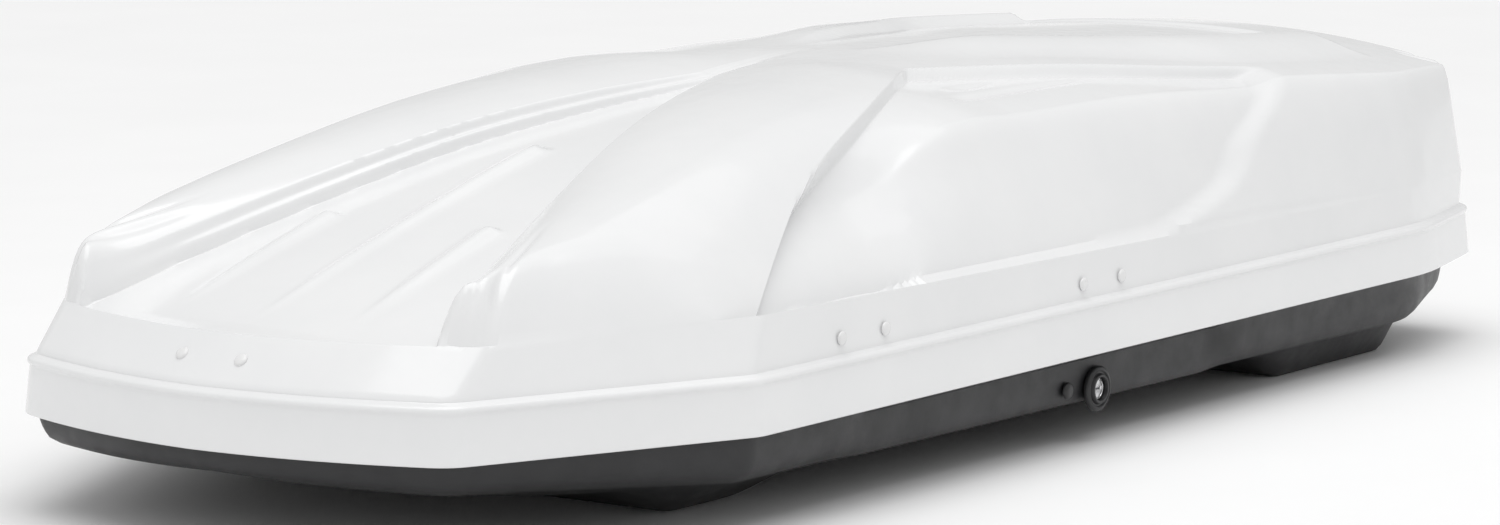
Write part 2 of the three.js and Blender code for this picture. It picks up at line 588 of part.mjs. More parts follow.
// A knob with five lobes, bored from below for its leg.
function knob() {
  const outline = new THREE.Shape();
  const count = 20;
  for (let i = 0; i < count; i += 1) {
    const a = (2 * Math.PI * i) / count;
    const r = 15 + 3 * Math.cos(5 * a);
    if (i === 0) outline.moveTo(r, 0);
    else outline.lineTo(r * Math.cos(a), r * Math.sin(a));
  }
  const grip = new THREE.ExtrudeGeometry(outline, { depth: 12, bevelEnabled: false, curveSegments: 1 });
  return cut(join(grip.translate(0, 0, 6), bar("z", 0, 7, [0, 0], 9, 14)), bar("z", -1, 16, [0, 0], 4.5, 12));
}

BARS_X.forEach((x, i) => {
  [["left", BARS_Y], ["right", -BARS_Y]].forEach(([name, y]) => {
    const end = `${i === 0 ? "front" : "rear"}_${name}`;
    add(`u_bolt_${end}`, bentRod(uPath.map(([px, pz]) => [x + px, pz]), y, U_ROD, 10), STEEL);
    const legs = [-U_HALF, U_HALF].map((dx) => bar("z", 20, 80, [x + dx, y], 4.8, 12));
    const plate = block(x - U_HALF - 16, x + U_HALF + 16, y - 15, y + 15, PLATE_Z, PLATE_Z + 3);
    add(`clamp_plate_${end}`, cut(plate, ...legs), BLACK);
    [-U_HALF, U_HALF].forEach((dx, k) => {
      add(`clamp_knob_${end}_${k + 1}`, knob().translate(x + dx, y, KNOB_Z), BLACK);
    });
  });
});

export default box;
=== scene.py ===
"""Looks of the roof cargo box: fine shells, fittings, materials, studio light and camera.

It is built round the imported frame. Shape formulas work in millimetres, in the frame's own axes, and meshes
are written in metres."""

import json
import math

import bmesh
import bpy
import numpy as np
from mathutils import Matrix, Vector


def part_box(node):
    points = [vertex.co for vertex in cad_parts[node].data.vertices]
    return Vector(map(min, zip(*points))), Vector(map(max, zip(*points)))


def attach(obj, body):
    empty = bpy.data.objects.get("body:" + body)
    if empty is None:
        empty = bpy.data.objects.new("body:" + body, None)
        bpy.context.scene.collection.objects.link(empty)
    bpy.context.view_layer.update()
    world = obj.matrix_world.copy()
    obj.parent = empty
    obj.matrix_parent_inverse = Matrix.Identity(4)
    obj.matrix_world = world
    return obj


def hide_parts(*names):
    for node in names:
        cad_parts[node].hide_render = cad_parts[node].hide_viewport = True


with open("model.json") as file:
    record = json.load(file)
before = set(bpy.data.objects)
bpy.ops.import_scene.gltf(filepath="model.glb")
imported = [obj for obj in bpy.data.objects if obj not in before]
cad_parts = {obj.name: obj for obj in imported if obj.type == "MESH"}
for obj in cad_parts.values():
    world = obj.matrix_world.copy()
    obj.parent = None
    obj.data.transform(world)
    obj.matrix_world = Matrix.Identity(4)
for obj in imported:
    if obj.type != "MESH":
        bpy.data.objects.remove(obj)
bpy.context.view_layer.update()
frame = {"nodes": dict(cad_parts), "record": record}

SKIN = 4.0
FALL = 0.0055
RIM_Z = 98.0
GROOVE_Z = 157.0
GROOVE_INSET = 12.0
BASE_INSET = 12.0
BASE_RIM_Z = 143.5
FLOOR_Z = 36.0
PANEL_END_X = 124.0
PANEL_NOSE_X = 859.0
PANEL_HALF = 219.0

# Corners of one half of the plan, nose to tail: rim x, y; shoulder x, y, z; base edge x, y, z; the x on the centre
# line that the surface lines run up to; and how far the base wall lies inside the rim.
CORNERS = np.array([
    [957.5, 0, 902.5, 0, 202, 885, 0, 68, 330, 12],
    [899, 265, 846, 260, 204, 838, 205, 60, PANEL_END_X, 14],
    [596.5, 400, 567, 382, 211, 588, 352, 47, -430, 12],
    [-739.5, 400, -742, 382, 197, -720, 374, 42, -640, 14],
    [-946, 350, -935, 345, 195, -850, 318, 46, -740, 34],
    [-957.5, 0, -948, 0, 195, -885, 0, 52, -800, 30],
], dtype=float)
SOFT = [0, 20, 10, 45, 40, 0]  # length over which each corner is rounded
BOWS = [52, 0, 0, 0, -11]  # how far the nose and tail edges bow out
CORNER_STEPS = 18  # rows of points round each softened corner


def ease(t):
    t = np.clip(t, 0, 1)
    return t * t * (3 - 2 * t)


def through(stations, x):
    """Smooth curve through stations (x, value), given from high x to low x."""
    s = np.array(stations, dtype=float)[::-1]
    xs, vs = s[:, 0], s[:, 1]
    n = len(xs)
    before = np.maximum(np.arange(n) - 1, 0)
    after = np.minimum(np.arange(n) + 1, n - 1)
    slope = (vs[after] - vs[before]) / (xs[after] - xs[before])
    x = np.clip(np.asarray(x, dtype=float), xs[0], xs[-1])
    i = np.clip(np.searchsorted(xs, x, side="right") - 1, 0, n - 2)
    h = xs[i + 1] - xs[i]
    t = (x - xs[i]) / h
    rise = (2 * t**3 - 3 * t**2 + 1) * vs[i] + (3 * t**2 - 2 * t**3) * vs[i + 1]
    return rise + (t**3 - 2 * t**2 + t) * h * slope[i] + (t**3 - t**2) * h * slope[i + 1]


def half_plan(spans):
    """Rows of one half, nose to tail. spans holds, per side, the fractions along it between its soft ends."""
    rows = []
    length = [np.hypot(*(CORNERS[s + 1, :2] - CORNERS[s, :2])) for s in range(5)]
    for s in range(5):
        a, b = CORNERS[s], CORNERS[s + 1]
        start, stop = SOFT[s] / length[s], 1 - SOFT[s + 1] / length[s]
        for q in start + (stop - start) * spans[s]:
            row = a + (b - a) * q
            row[[0, 2, 5]] += BOWS[s] * (q - q * q)
            rows.append(row)
        if s < 4:
            before = a + (b - a) * stop
            before[[0, 2, 5]] += BOWS[s] * (stop - stop**2)
            q = SOFT[s + 1] / length[s + 1]
            after = b + (CORNERS[s + 2] - b) * q
            after[[0, 2, 5]] += BOWS[s + 1] * (q - q * q)
            for t in np.arange(1, CORNER_STEPS) / CORNER_STEPS:
                rows.append((1 - t) ** 2 * before + 2 * t * (1 - t) * b + t * t * after)
    return np.array(rows)


def whole_plan(spans):
    """Rows all the way round, and the inward direction at each."""
    half = half_plan(spans)
    other = half[1:-1][::-1].copy()
    other[:, [1, 3, 6]] *= -1
    ring = np.vstack([half, other])
    ahead = np.roll(ring[:, :2], -1, axis=0) - np.roll(ring[:, :2], 1, axis=0)
    ahead /= np.linalg.norm(ahead, axis=1)[:, None]
    inward = np.stack([-ahead[:, 1], ahead[:, 0]], axis=1)
    return ring, inward


EDGE_RING = whole_plan([np.linspace(0, 1, n) for n in (9, 5, 9, 4, 5)])[0][:, 2:4]


def inside_shoulder(x, y):
    """Distance of plan points inside the shoulder line."""
    p = np.stack([np.ravel(x), np.ravel(y)], axis=1)
    best = np.full(len(p), np.inf)
    for a, b in zip(EDGE_RING, np.roll(EDGE_RING, -1, axis=0)):
        d = b - a
        t = np.clip(((p - a) @ d) / (d @ d), 0, 1)
        best = np.minimum(best, np.hypot(p[:, 0] - a[0] - t * d[0], p[:, 1] - a[1] - t * d[1]))
    return best.reshape(np.shape(x))


# Stations along the box: x and a value.
SHOULDER_Z = [[905, 202], [845, 203], [567, 211], [0, 211], [-300, 209], [-742, 197], [-945, 195]]
ROOF_Z = [[905, 268], [845, 279], [797, 288], [740, 301], [570, 336], [336, 375], [98, 393], [0, 390],
          [-210, 388], [-403, 380], [-545, 376], [-792, 363], [-945, 352]]
CREST_Y = [[845, 244], [797, 250], [740, 250], [570, 240], [336, 220], [98, 190], [0, 165]]
PANEL_Z = [[905, 200], [869, 206], [740, 244], [581, 287], [426, 324], [279, 348], [124, 368], [60, 379],
           [0, 386], [-60, 389], [-210, 388]]
STEP_Z = [[859, 2], [740, 15], [581, 20], [426, 20], [279, 17], [124, 9], [40, 2], [-60, 0]]
RIDGE_Y = [[0, 40], [-210, 97], [-403, 158], [-545, 200], [-800, 211]]
WALL_SLOPE = [[905, 6], [845, 4.5], [797, 3.6], [740, 3], [570, 2.8], [300, 2.8], [-400, 3.6], [-900, 6.5]]
ROOF_EDGE = [[845, 30], [797, 60], [700, 90], [500, 95], [300, 80], [-400, 60], [-900, 40]]
ROOF_DROOP = 28.0  # how much lower the roof is 300 mm to either side
RIDGES_START_X = -60.0  # the panel's last trace ends here, and the two ridges of the roof begin
RIDGES_END_X = -800.0
RIDGE_HEIGHT = 11.0
VALLEY_DEPTH = 4.0  # between the ridges

# Stations up the flank: the distance across it and the x of the side recess's front or rear edge.
FLANK_Y = 382.0
FLANK_Z = 211.0
RECESS_FRONT = [[391, 2], [326, 125], [261, 245], [206, 340], [145, 423], [74, 499], [0, 566]]
RECESS_REAR = [[224, -518], [175, -505], [144, -480], [95, -412], [56, -376], [32, -333], [0, -225]]


def smooth_min(a, b, reach):
    """The lower of two heights, with the edge between them rounded over reach."""
    reach = np.maximum(reach, 1e-6)
    h = np.maximum(reach - np.abs(a - b), 0) / reach
    return np.minimum(a, b) - h * h * reach / 4


def spine_ridge(x, side):
    """Two ridges that part behind the panel and run back along the roof, steep inside and gentle outside."""
    line = through(RIDGE_Y, x)
    along = ease((RIDGES_START_X - x) / 200) * ease((x - RIDGES_END_X) / 18)
    across = np.where(side < line, ease((side - line + 34) / 26), ease(1 - (side - line) / 90))
    return along * (RIDGE_HEIGHT * across - VALLEY_DEPTH * (1 - across) * (side < line))


def step_profile(out):
    """The panel's edge climbs in two small steps with a narrow ledge between."""
    return 0.5 * ease(out / 4) + 0.5 * ease((out - 8) / 5)


def crown(x, y):
    """Height of the roof over plan points: crowned, with a sunken triangular panel at the nose."""
    side = np.abs(y)
    crest_y = through(CREST_Y, x)
    droop = ROOF_DROOP * (side / 300) ** 2.2
    roof = through(ROOF_Z, x) - droop + spine_ridge(x, side)
    edge_y = np.maximum(PANEL_HALF * (x - PANEL_END_X) / (PANEL_NOSE_X - PANEL_END_X), 0)
    floor = through(PANEL_Z, x) - 9 * (np.minimum(side, edge_y) / PANEL_HALF) ** 2
    out = np.maximum(side - edge_y, 0)
    lip = floor + through(STEP_Z, x) * step_profile(out)
    t = np.clip(out / np.maximum(crest_y - edge_y, 16), 0, 1)
    rise = 1 - (1 - t) ** 2
    climb = np.maximum(through(ROOF_Z, x) - lip, 0) * rise
    shelf = lip + climb - droop * (rise + (1 - rise) * ease(x / RIDGES_START_X))
    fender = shelf - FALL * ease((x - 120) / 230) * np.maximum(side - crest_y, 0) ** 2
    return np.where(x < RIDGES_START_X, roof, fender)


def dome_height(x, y):
    """Height of the lid over plan points: the lower of the roof and of the wall that rises from the shoulder."""
    top = crown(x, y)
    foot = through(SHOULDER_Z, x)
    wall = foot + through(WALL_SLOPE, x) * inside_shoulder(x, y)
    return smooth_min(top, wall, np.minimum(through(ROOF_EDGE, x), np.maximum(1.1 * (top - foot), 0)))


def up_flank(y, z):
    """Distance across the flank from the shoulder to a point of the dome."""
    return FLANK_Y - np.abs(y) + (z - FLANK_Z)


def recess_depth(x, y, z):
    """How far the side recess sinks a point of the dome."""
    across = up_flank(y, z)
    front_x = through(RECESS_FRONT, across)
    rear_x = through(RECESS_REAR, across)
    top_across = 391 + (224 - 391) * (2 - x) / 508
    front = ease((front_x - x) / 13)
    top = ease((top_across - across) / 14)
    rear = ease((x - rear_x) / 60)
    bottom = np.clip((across + 4) / 4, 0, 1)
    hollow = 12 + 14 * ease((x + 350) / 700) * np.exp(-(((across - 170) / 90) ** 2))
    return hollow * front * top * rear * bottom


# ---- fine detail of the dome ----
RIBS = [  # lower end x, upper end x, y at each end
    (869, 426, 0, 0),
    (852, 632, 108, 101),
    (852, 632, -108, -101),
]
SHELF_FLUTES = [  # place across the flank, front x, rear x
    (292, 53, -254),
    (328, 14, -123),
]
CORNER_FLUTES = [  # corner of the plan, how far each of its two flutes lies from it, depth
    (1, 16, 3.5),
    (4, 17, 4.5),
]
NORMAL_STEP = 14.0  # the dome's slopes are taken over this distance either way


def ribs(x, y):
    """Raised ribs of the nose panel: low at the nose, taller and wider towards a sharp upper end."""
    total = np.zeros_like(x)
    for low, high, y_low, y_high in RIBS:
        along = np.clip((low - x) / (low - high), 0, 1)
        line = y_low + (y_high - y_low) * along
        height = 7.5 * along**0.8 * ease((x - high + 14) / 14) * ease((low - x) / 60)
        width = 5 + 6 * along
        total = total + height * np.exp(-(((y - line) / width) ** 2))
    return total


def flutes(x, y, z):
    """Shallow grooves along the shelf at the top of each side recess."""
    across = up_flank(y, z)
    total = np.zeros_like(x)
    for place, front, rear in SHELF_FLUTES:
        window = ease((front - x) / 40) * ease((x - rear) / 90)
        total = total + 3.2 * window * np.exp(-(((across - place) / 8) ** 2))
    return total


def fine_dome(rows, t, extra, detail=True):
    """Grid of dome points, one ring per value of t, which runs from the shoulder to the centre line.

    The flutes and the skin's extra depth are sunk along the normal. The side recess is sunk in a direction that
    turns from level at the shoulder to straight down high on the flank."""
    t = np.asarray(t)[:, None]
    x = rows[None, :, 2] + (rows[None, :, 8] - rows[None, :, 2]) * t
    y = rows[None, :, 3] * (1 - t)

    z = dome_height(x, y) + (ribs(x, y) if detail else 0)
    slope_x = (dome_height(x + NORMAL_STEP, y) - dome_height(x - NORMAL_STEP, y)) / (2 * NORMAL_STEP)
    slope_y = (dome_height(x, y + NORMAL_STEP) - dome_height(x, y - NORMAL_STEP)) / (2 * NORMAL_STEP)
    slope_y = np.where(np.abs(y) < 1e-6, 0, slope_y)
    normal = np.stack([-slope_x, -slope_y, np.ones_like(x)], axis=-1)
    normal /= np.linalg.norm(normal, axis=-1)[..., None]
    skin = extra + (flutes(x, y, z) + corner_flutes(rows, t) if detail else 0)
    points = np.stack([x, y, z], axis=-1) - normal * np.broadcast_to(skin, x.shape)[..., None]
    sink = recess_depth(x, y, z)
    turn = (math.pi / 2) * ease(up_flank(y, z) / 320)
    points[..., 1] -= sink * np.cos(turn) * np.sign(y)
    points[..., 2] -= sink * np.sin(turn)
    return points


def corner_flutes(rows, t):
    """Two upright flutes at each corner of the nose and of the tail."""
    x, y = rows[None, :, 0], np.abs(rows[None, :, 1])
    total = np.zeros((len(t), len(rows)))
    for corner, spread, depth in CORNER_FLUTES:
        cx, cy = CORNERS[corner, :2]
        from_corner = (y - cy) - (x - cx) * np.sign(cx)
        for offset in (-spread, spread):
            across = np.exp(-(((from_corner - offset) / 9) ** 2))
            near = np.hypot(x - cx, y - cy) < 90
            total = total + depth * across * near * ease(t / 0.02) * ease((0.22 - t) / 0.12)
    return total


# ---- meshes ----
def mesh_object(name, points, faces, smooth_angle=35.0):
    """A mesh object from points in millimetres, merged where they meet, smooth except at sharp edges."""
    mesh = bpy.data.meshes.new(name)
    mesh.from_pydata((np.asarray(points) / 1000).tolist(), [], faces)
    mesh.validate()
    work = bmesh.new()
    work.from_mesh(mesh)
    bmesh.ops.remove_doubles(work, verts=work.verts, dist=2e-6)
    bmesh.ops.recalc_face_normals(work, faces=work.faces)
    work.to_mesh(mesh)
    work.free()
    for polygon in mesh.polygons:
        polygon.use_smooth = True
    mesh.set_sharp_from_angle(angle=math.radians(smooth_angle))
    obj = bpy.data.objects.new(name, mesh)
    bpy.context.scene.collection.objects.link(obj)
    return obj


def ring_faces(count, levels, start=0):
    """Quads between successive rings of count points."""
    i = np.arange(count)
    j = (i + 1) % count
    faces = []
    for k in range(levels - 1):
        low = start + k * count
        faces.extend(np.stack([low + i, low + j, low + count + j, low + count + i], axis=1).tolist())
    return faces


def shell(name, outer, inner):
    """A closed shell: outer and inner are grids of rings whose first rings meet at the open edge."""
    levels_out, count = outer.shape[:2]
    levels_in = inner.shape[0]
    points = np.concatenate([outer.reshape(-1, 3), inner.reshape(-1, 3)])
    first_inner = levels_out * count
    faces = ring_faces(count, levels_out) + ring_faces(count, levels_in, first_inner)
    i = np.arange(count)
    j = (i + 1) % count
    faces.extend(np.stack([i, j, first_inner + j, first_inner + i], axis=1).tolist())
    return mesh_object(name, points, faces)


def dense_ends(first, middle, last, share=0.12):
    """Fractions from 0 to 1, closer together over the first and last share."""
    return np.concatenate([
        np.linspace(0, share, first, endpoint=False),
        np.linspace(share, 1 - share, middle, endpoint=False),
        np.linspace(1 - share, 1, last),
    ])


PLAN_STEPS = [
    np.concatenate([np.linspace(0, 0.7, 34, endpoint=False), np.linspace(0.7, 1, 50)]),
    dense_ends(16, 26, 10),
    np.concatenate([np.linspace(0, 0.04, 18, endpoint=False), np.linspace(0.04, 1, 210)]),
    np.linspace(0, 1, 20),
    dense_ends(8, 18, 8),
]
ROWS, INWARD = whole_plan(PLAN_STEPS)


def at_inset(distance, z):
    """A ring that lies a distance inside the skirt's lower edge."""
    distance = np.broadcast_to(distance, len(ROWS))
    xy = ROWS[:, :2] + INWARD * distance[:, None]
    return np.column_stack([xy, np.broadcast_to(z, len(ROWS))])


# The skirt from its lower edge past the bead and the groove: how far inside the rim, and height.
SKIRT = [(0.9, RIM_Z), (0, 98.9), (0, 100), (2.3, 122), (4.4, 142), (4.7, 145), (4.2, 146.6), (2.9, 148),
         (2.6, 149.6), (3.0, 151.4), (4.4, 153), (7.5, 154.4), (10.5, 155.4), (11.7, 156.4), (12, 158)]
SKIRT_INSIDE = [(0, RIM_Z), (3, 130), (5, 146), (6.5, 152), (12, 158)]


def lid():
    """The white lid: skirt, lower wall and dome, with an inner skin."""
    foot = at_inset(GROOVE_INSET, GROOVE_Z + 1)
    shoulder = ROWS[:, 2:5]
    wall = [foot + (shoulder - foot) * t for t in (0.12, 0.3, 0.5, 0.7, 0.88, 0.97)]
    rings = np.concatenate([
        np.linspace(0, 0.06, 12, endpoint=False),
        np.linspace(0.06, 0.6, 100, endpoint=False),
        np.linspace(0.6, 1, 36),
    ])
    outer = np.concatenate([
        np.array([at_inset(d, z) for d, z in SKIRT]),
        np.array(wall),
        fine_dome(ROWS, rings, 0),
    ])
    inner_rings = np.concatenate([np.linspace(0.005, 0.06, 4, endpoint=False), np.linspace(0.06, 1, 46)])
    inward = np.column_stack([INWARD, np.zeros(len(ROWS))])
    inner = np.concatenate([
        np.array([at_inset(d + SKIN, z) for d, z in SKIRT_INSIDE]),
        np.array([foot + (shoulder - foot) * t + inward * SKIN for t in (0.4, 0.9)]),
        fine_dome(ROWS, inner_rings, SKIN, detail=False),
    ])
    return shell("lid_body", outer, inner)


BELLY_Z = [[905, 68], [800, 50], [700, 39], [620, FLOOR_Z], [600, FLOOR_Z], [-680, FLOOR_Z], [-700, FLOOR_Z],
           [-890, 50]]
# Levels of the base's wall down to its lower edge: share of the way inwards, share of the way down.
BASE_WALL = [(0.03, 0.2), (0.07, 0.38), (0.12, 0.55), (0.25, 0.72), (0.46, 0.87), (0.75, 0.97)]
BASE_WALL_TOP = 90.0
LOCK_BAY_OUT = 10.0  # at the lock the wall's foot stands this much further out
LOCK_BAY_IN = 8.0  # and its top this much further in


def belly_height(x, y):
    """Underside of the base: flat between two pods that hang below it."""
    side = np.abs(y)
    front = ease((640 - x) / 110) * ease((x - 340) / 110) * ease((330 - side) / 90)
    rear = ease((-430 - x) / 90) * ease((x + 850) / 110) * ease((364 - side) / 40)
    return through(BELLY_Z, x) * (1 - np.maximum(front, rear))


def lock_bay(x, y):
    """1 along the flatter stretch of the left wall that holds the lock, and 0 elsewhere."""
    return np.where(y > 0, ease((x + 330) / 70) * ease((450 - x) / 70), 0)


def base():
    """The black base: rim, wall and underside with its two pods, with an inner skin."""
    bay = lock_bay(ROWS[:, 0], ROWS[:, 1])
    wall_inset = ROWS[:, 9]

    def rings(skin, across):
        wall = at_inset(wall_inset + skin + LOCK_BAY_IN * bay, BASE_WALL_TOP)
        edge = ROWS[:, 5:8].copy()
        edge[:, :2] += INWARD * (skin - LOCK_BAY_OUT * bay)[:, None]
        edge[:, 2] += skin * 0.8
        levels = [at_inset(BASE_INSET + skin, z) for z in (BASE_RIM_Z, 120, RIM_Z)]
        levels.append(wall)
        for inwards, down in BASE_WALL:
            levels.append(wall + (edge - wall) * np.array([inwards, inwards, down]))
        levels.append(edge)
        for t in across:
            x = ROWS[:, 5] + (ROWS[:, 8] - ROWS[:, 5]) * t
            y = ROWS[:, 6] * (1 - t)
            low = belly_height(x, y)
            z = ROWS[:, 7] + (low - ROWS[:, 7]) * ease(min(1, t / 0.09))
            levels.append(np.column_stack([x, y, z + skin]))
        return np.array(levels)

    outer_across = np.concatenate([np.linspace(0.01, 0.3, 22, endpoint=False), np.linspace(0.3, 1, 22)])
    inner_across = np.concatenate([np.linspace(0.03, 0.3, 9, endpoint=False), np.linspace(0.3, 1, 12)])
    return shell("base_body", rings(0, outer_across), rings(SKIN, inner_across))


def turned(name, profile, axis, centre, sides=48, smooth_angle=35.0):
    """A turned piece. The profile is (radius, distance along the axis), and the axis is "x", "y" or "z"."""
    angle = np.linspace(0, 2 * math.pi, sides, endpoint=False)
    rings = []
    for radius, along in profile:
        a, b = radius * np.cos(angle), radius * np.sin(angle)
        run = np.full(sides, float(along))
        ring = {"x": (run, a, b), "y": (b, run, a), "z": (a, b, run)}[axis]
        rings.append(np.column_stack(ring))
    points = np.concatenate(rings) + np.array(centre)
    return mesh_object(name, points, ring_faces(sides, len(profile)), smooth_angle)


# ---- materials ----
def new_material(name):
    """An empty material with its nodes, its links, its shader and the object's own coordinates."""
    material = bpy.data.materials.new(name)
    material.use_nodes = True
    nodes = material.node_tree.nodes
    shader = nodes["Principled BSDF"]
    place = nodes.new("ShaderNodeTexCoord")
    return material, nodes, material.node_tree.links, shader, place.outputs["Object"]


def noise(nodes, links, place, scale, detail=3.0, roughness=0.5):
    texture = nodes.new("ShaderNodeTexNoise")
    texture.inputs["Scale"].default_value = scale
    texture.inputs["Detail"].default_value = detail
    texture.inputs["Roughness"].default_value = roughness
    links.new(place, texture.inputs["Vector"])
    return texture.outputs["Fac"]


def ramp(nodes, links, value, stops):
    node = nodes.new("ShaderNodeValToRGB")
    elements = node.color_ramp.elements
    for element, (position, colour) in zip(elements, stops):
        element.position = position
        element.color = (*colour, 1)
    links.new(value, node.inputs["Fac"])
    return node.outputs["Color"]


def map_range(nodes, links, value, low, high):
    node = nodes.new("ShaderNodeMapRange")
    node.inputs["From Min"].default_value = 0.3
    node.inputs["From Max"].default_value = 0.7
    node.inputs["To Min"].default_value = low
    node.inputs["To Max"].default_value = high
    links.new(value, node.inputs["Value"])
    return node.outputs["Result"]


def bumps(nodes, links, shader, layers):
    """Chains bump layers of (height value, strength, distance) into the shader's normal."""
    last = None
    for value, strength, distance in layers:
        node = nodes.new("ShaderNodeBump")
        node.inputs["Strength"].default_value = strength
        node.inputs["Distance"].default_value = distance
        links.new(value, node.inputs["Height"])
        if last is not None:
            links.new(last, node.inputs["Normal"])
        last = node.outputs["Normal"]
    links.new(last, shader.inputs["Normal"])


def surface(name, dark, light, rough, scale, metallic=0.0, layers=(), coat=0.0, tone_scale=6.0):
    """A material whose colour, roughness and relief vary.

    Its colour runs from dark to light, and its roughness between the two values of rough. Its relief is a list of
    layers, each (scale, strength, distance)."""
    material, nodes, links, shader, place = new_material(name)
    tone = noise(nodes, links, place, tone_scale, 4.0, 0.6)
    links.new(ramp(nodes, links, tone, [(0.3, dark), (0.7, light)]), shader.inputs["Base Color"])
    gloss = noise(nodes, links, place, scale, 5.0, 0.65)
    links.new(map_range(nodes, links, gloss, *rough), shader.inputs["Roughness"])
    shader.inputs["Metallic"].default_value = metallic
    shader.inputs["Coat Weight"].default_value = coat
    shader.inputs["Coat Roughness"].default_value = 0.06
    if layers:
        relief = [
            (noise(nodes, links, place, fineness, 2.0, 0.5), strength, distance)
            for fineness, strength, distance in layers
        ]
        bumps(nodes, links, shader, relief)
    return material


WHITE = surface("white_gloss", (0.83, 0.835, 0.84), (0.865, 0.868, 0.87), (0.13, 0.2), 40.0,
                layers=[(9.0, 0.25, 0.0009), (420.0, 0.06, 0.00015)], coat=0.35)
WHITE_RIVET = surface("white_rivet_gloss", (0.8, 0.8, 0.8), (0.84, 0.84, 0.84), (0.15, 0.26), 300.0,
                      layers=[(900.0, 0.1, 0.0001)])
GRAIN = surface("black_grain", (0.012, 0.012, 0.013), (0.024, 0.024, 0.026), (0.36, 0.52), 30.0,
                layers=[(1500.0, 0.55, 0.0004), (240.0, 0.12, 0.0004)])
SATIN = surface("black_satin", (0.012, 0.012, 0.013), (0.022, 0.022, 0.023), (0.3, 0.42), 200.0,
                layers=[(1200.0, 0.2, 0.0002)])
ENAMEL = surface("black_enamel", (0.015, 0.015, 0.016), (0.028, 0.028, 0.03), (0.24, 0.36), 60.0,
                 layers=[(500.0, 0.15, 0.0003)])
RUBBER = surface("soft_rubber", (0.01, 0.01, 0.01), (0.02, 0.02, 0.02), (0.6, 0.8), 90.0,
                 layers=[(700.0, 0.3, 0.0004)])
ZINC = surface("zinc_plate", (0.48, 0.49, 0.5), (0.66, 0.67, 0.69), (0.25, 0.42), 160.0,
               metallic=1.0, layers=[(650.0, 0.12, 0.0002)], tone_scale=70.0)
BRIGHT = surface("bright_plate", (0.6, 0.6, 0.61), (0.75, 0.75, 0.76), (0.16, 0.3), 260.0,
                 metallic=1.0, layers=[(900.0, 0.08, 0.0001)], tone_scale=90.0)
SLOT_MATERIALS = {
    "white_shell": WHITE,
    "white_rivet": WHITE_RIVET,
    "black_shell": GRAIN,
    "seal_rubber": RUBBER,
    "black_fitting": SATIN,
    "black_metal": ENAMEL,
    "bright_steel": BRIGHT,
    "zinc_steel": ZINC,
}
NODE_SLOTS = {row["node"]: row["material_slot"] for row in frame["record"]["subparts"]}
for node, obj in frame["nodes"].items():
    obj.data.materials.clear()
    obj.data.materials.append(SLOT_MATERIALS[NODE_SLOTS[node]])


def place_piece(piece, body, slot, *nodes):
    """Gives a piece its material, lets it ride its body, and hides the nodes that it stands for."""
    piece.data.materials.clear()
    piece.data.materials.append(SLOT_MATERIALS[slot])
    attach(piece, body)
    if nodes:
        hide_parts(*nodes)


def middle(node):
    """Centre of a node's box, in millimetres."""
    low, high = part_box(node)
    return (low + high) * 500


# ---- shells ----
place_piece(lid(), "lid", "white_shell", "lid_shell")
place_piece(base(), "base", "black_shell", "base_shell")

# ---- rivets ----
RIVET_HEAD = [(0, -14), (2.2, -14), (2.2, -3.2), (6.6, -3.2), (7, -2.4), (6.6, -1.4), (5.4, -0.5), (3.6, 0),
              (0, 0.2)]
NOSE_LEAN = 0.761  # how far the nose rivets' axes point up, in radians
NOSE_HEAD_OUT = 3.4  # how far their heads stand out of the wall
TO_WALL = Vector((0.6, 0, 0.6))  # from the middle of a nose rivet's box to the wall's surface on its axis
for index in range(1, 5):
    node = f"side_rivet_{index}"
    c = middle(node)
    rivet = turned(node + "_head", RIVET_HEAD, "y", (c.x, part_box(node)[1].y * 1000, c.z))
    place_piece(rivet, "lid", "white_rivet", node)
for index in (1, 2):
    node = f"nose_rivet_{index}"
    rivet = turned(node + "_head", RIVET_HEAD, "x", (NOSE_HEAD_OUT, 0, 0))
    lean = Matrix.Rotation(-NOSE_LEAN, 4, "Y")
    rivet.data.transform(Matrix.Translation((middle(node) + TO_WALL) / 1000) @ lean)
    place_piece(rivet, "lid", "white_rivet", node)

# ---- lock ----
lock = middle("lock_housing")
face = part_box("lock_housing")[1].y * 1000
HOUSING = [(12.2, -18), (15, -18), (15, -8), (23.4, -8), (24, -7.2), (24, -4.6), (23.2, -3.2), (21.6, -2.2),
           (19.6, -1.7), (18.8, -2.2), (18.2, -3.4), (16.6, -3.4), (16, -2.6), (15.6, -0.8), (14.8, 0), (13, 0),
           (12.2, -0.8), (12.2, -18)]
lock_ring = turned("lock_ring", HOUSING, "y", (lock.x, face, lock.z), 72)
place_piece(lock_ring, "base", "black_fitting", "lock_housing")
BARREL_SUNK = 4.0  # the barrel's face lies this far inside the ring's
PIN_LENGTH = 5.0
DRIVE_PIN_AWAY = 8.98  # along x and along z, from the barrel's axis


